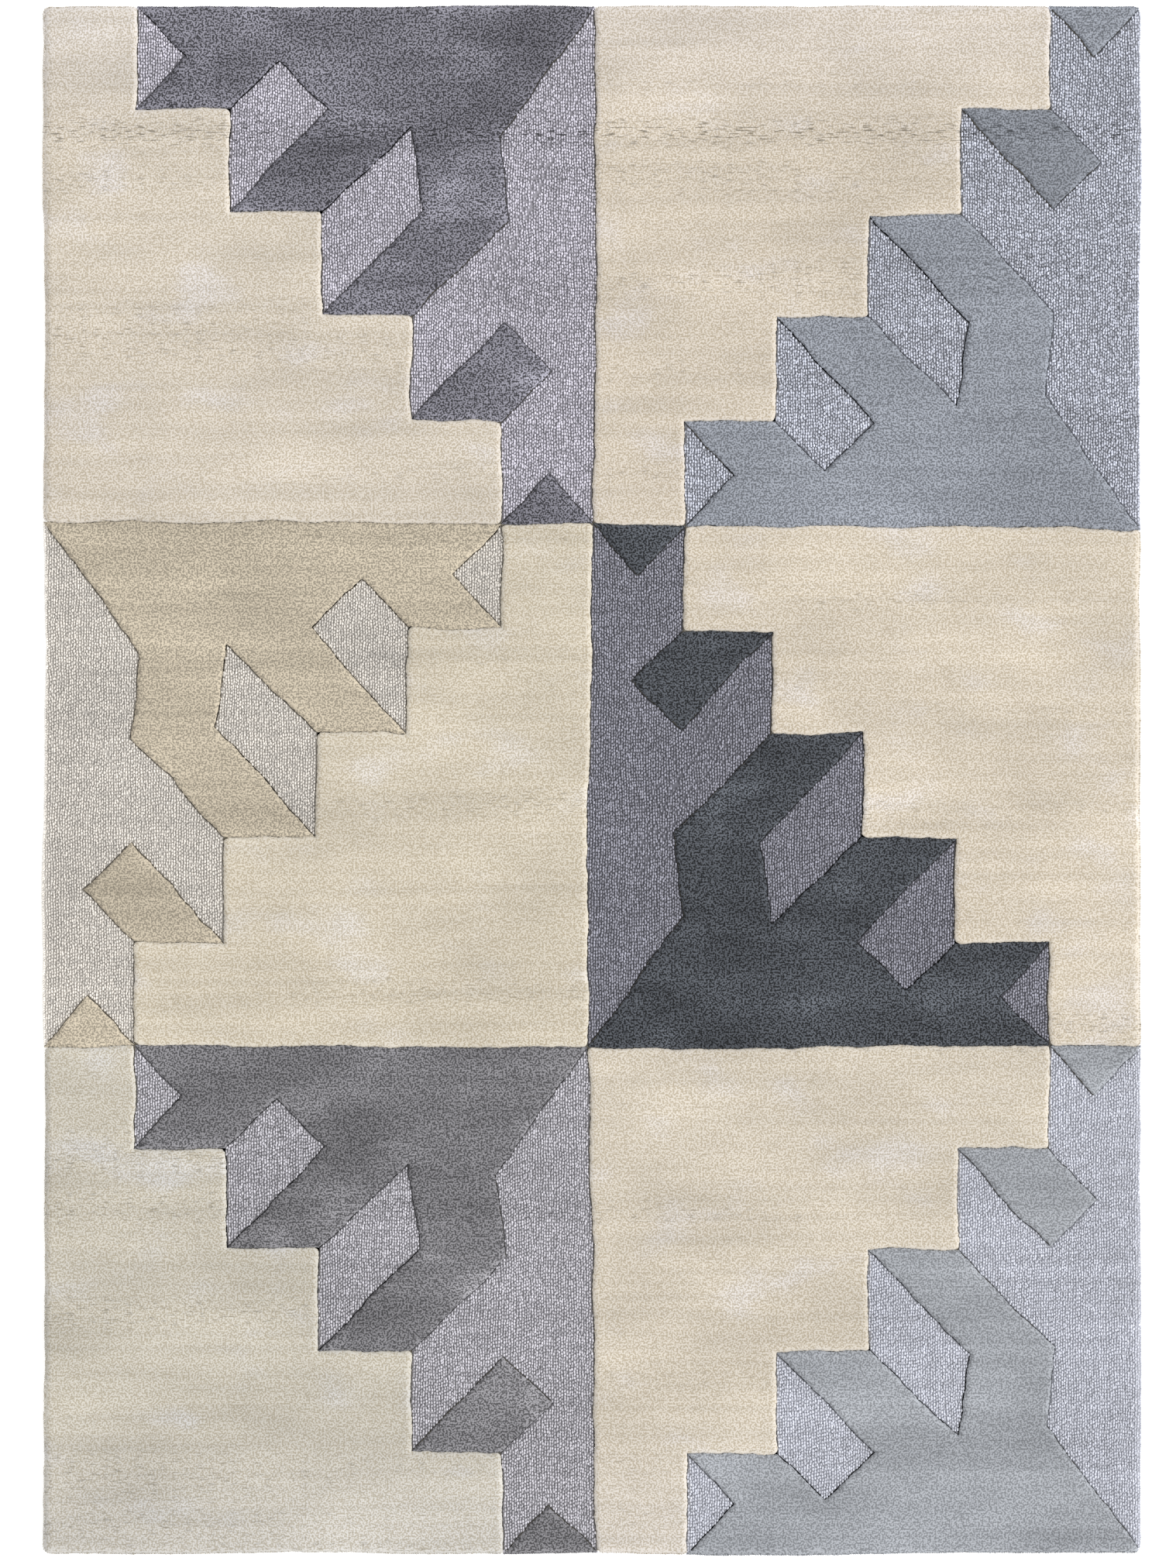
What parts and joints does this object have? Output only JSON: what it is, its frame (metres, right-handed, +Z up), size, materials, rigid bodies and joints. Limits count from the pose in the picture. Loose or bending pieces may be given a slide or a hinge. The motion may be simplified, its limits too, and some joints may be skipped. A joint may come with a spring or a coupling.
{
  "type": "area rug",
  "caption": "Rectangular hand-tufted area rug, stepped diamond pattern in cream, grey, blue-grey, sand and charcoal, cut pile carved against lower loop pile, cloth-backed.",
  "frame": {"origin": "on the floor under the middle of the rug", "axes": "+X across the width to the right, +Y along the length towards the far end, +Z up out of the pile"},
  "size_m": [1.6996, 2.3996, 0.016],
  "materials": {
    "cream_cut_yarn": "cut wool yarn",
    "grey_cut_yarn": "cut wool yarn",
    "grey_loop_yarn": "looped wool yarn",
    "blue_grey_cut_yarn": "cut wool yarn",
    "blue_grey_loop_yarn": "looped wool yarn",
    "sand_cut_yarn": "cut wool yarn",
    "sand_loop_yarn": "looped wool yarn",
    "charcoal_cut_yarn": "cut wool yarn",
    "charcoal_loop_yarn": "looped wool yarn",
    "primary_cloth": "plain weave",
    "latex": "matt rubber",
    "secondary_cloth": "open plain weave",
    "tape_cotton": "twill weave"
  },
  "bodies": {
    "root": {"secondary_backing": "secondary_cloth", "binding_tape_left": "tape_cotton", "binding_tape_right": "tape_cotton", "binding_tape_near": "tape_cotton", "binding_tape_far": "tape_cotton", "latex_coat": "latex", "primary_backing": "primary_cloth", "far_left_ground": "cream_cut_yarn", "far_left_cut_sweep": "grey_cut_yarn", "far_left_cut_lozenge": "grey_cut_yarn", "far_left_cut_tip": "grey_cut_yarn", "far_left_loop_column": "grey_loop_yarn", "far_left_loop_wedge_large": "grey_loop_yarn", "far_left_loop_wedge_middle": "grey_loop_yarn", "far_left_loop_wedge_small": "grey_loop_yarn", "far_right_ground": "cream_cut_yarn", "far_right_cut_sweep": "blue_grey_cut_yarn", "far_right_cut_lozenge": "blue_grey_cut_yarn", "far_right_cut_tip": "blue_grey_cut_yarn", "far_right_loop_column": "blue_grey_loop_yarn", "far_right_loop_wedge_large": "blue_grey_loop_yarn", "far_right_loop_wedge_middle": "blue_grey_loop_yarn", "far_right_loop_wedge_small": "blue_grey_loop_yarn", "middle_left_ground": "cream_cut_yarn", "middle_left_cut_sweep": "sand_cut_yarn", "middle_left_cut_lozenge": "sand_cut_yarn", "middle_left_cut_tip": "sand_cut_yarn", "middle_left_loop_column": "sand_loop_yarn", "middle_left_loop_wedge_large": "sand_loop_yarn", "middle_left_loop_wedge_middle": "sand_loop_yarn", "middle_left_loop_wedge_small": "sand_loop_yarn", "middle_right_ground": "cream_cut_yarn", "middle_right_cut_sweep": "charcoal_cut_yarn", "middle_right_cut_lozenge": "charcoal_cut_yarn", "middle_right_cut_tip": "charcoal_cut_yarn", "middle_right_loop_column": "charcoal_loop_yarn", "middle_right_loop_wedge_large": "charcoal_loop_yarn", "middle_right_loop_wedge_middle": "charcoal_loop_yarn", "middle_right_loop_wedge_small": "charcoal_loop_yarn", "near_left_ground": "cream_cut_yarn", "near_left_cut_sweep": "grey_cut_yarn", "near_left_cut_lozenge": "grey_cut_yarn", "near_left_cut_tip": "grey_cut_yarn", "near_left_loop_column": "grey_loop_yarn", "near_left_loop_wedge_large": "grey_loop_yarn", "near_left_loop_wedge_middle": "grey_loop_yarn", "near_left_loop_wedge_small": "grey_loop_yarn", "near_right_ground": "cream_cut_yarn", "near_right_cut_sweep": "blue_grey_cut_yarn", "near_right_cut_lozenge": "blue_grey_cut_yarn", "near_right_cut_tip": "blue_grey_cut_yarn", "near_right_loop_column": "blue_grey_loop_yarn", "near_right_loop_wedge_large": "blue_grey_loop_yarn", "near_right_loop_wedge_middle": "blue_grey_loop_yarn", "near_right_loop_wedge_small": "blue_grey_loop_yarn"}
  },
  "joints": []
}
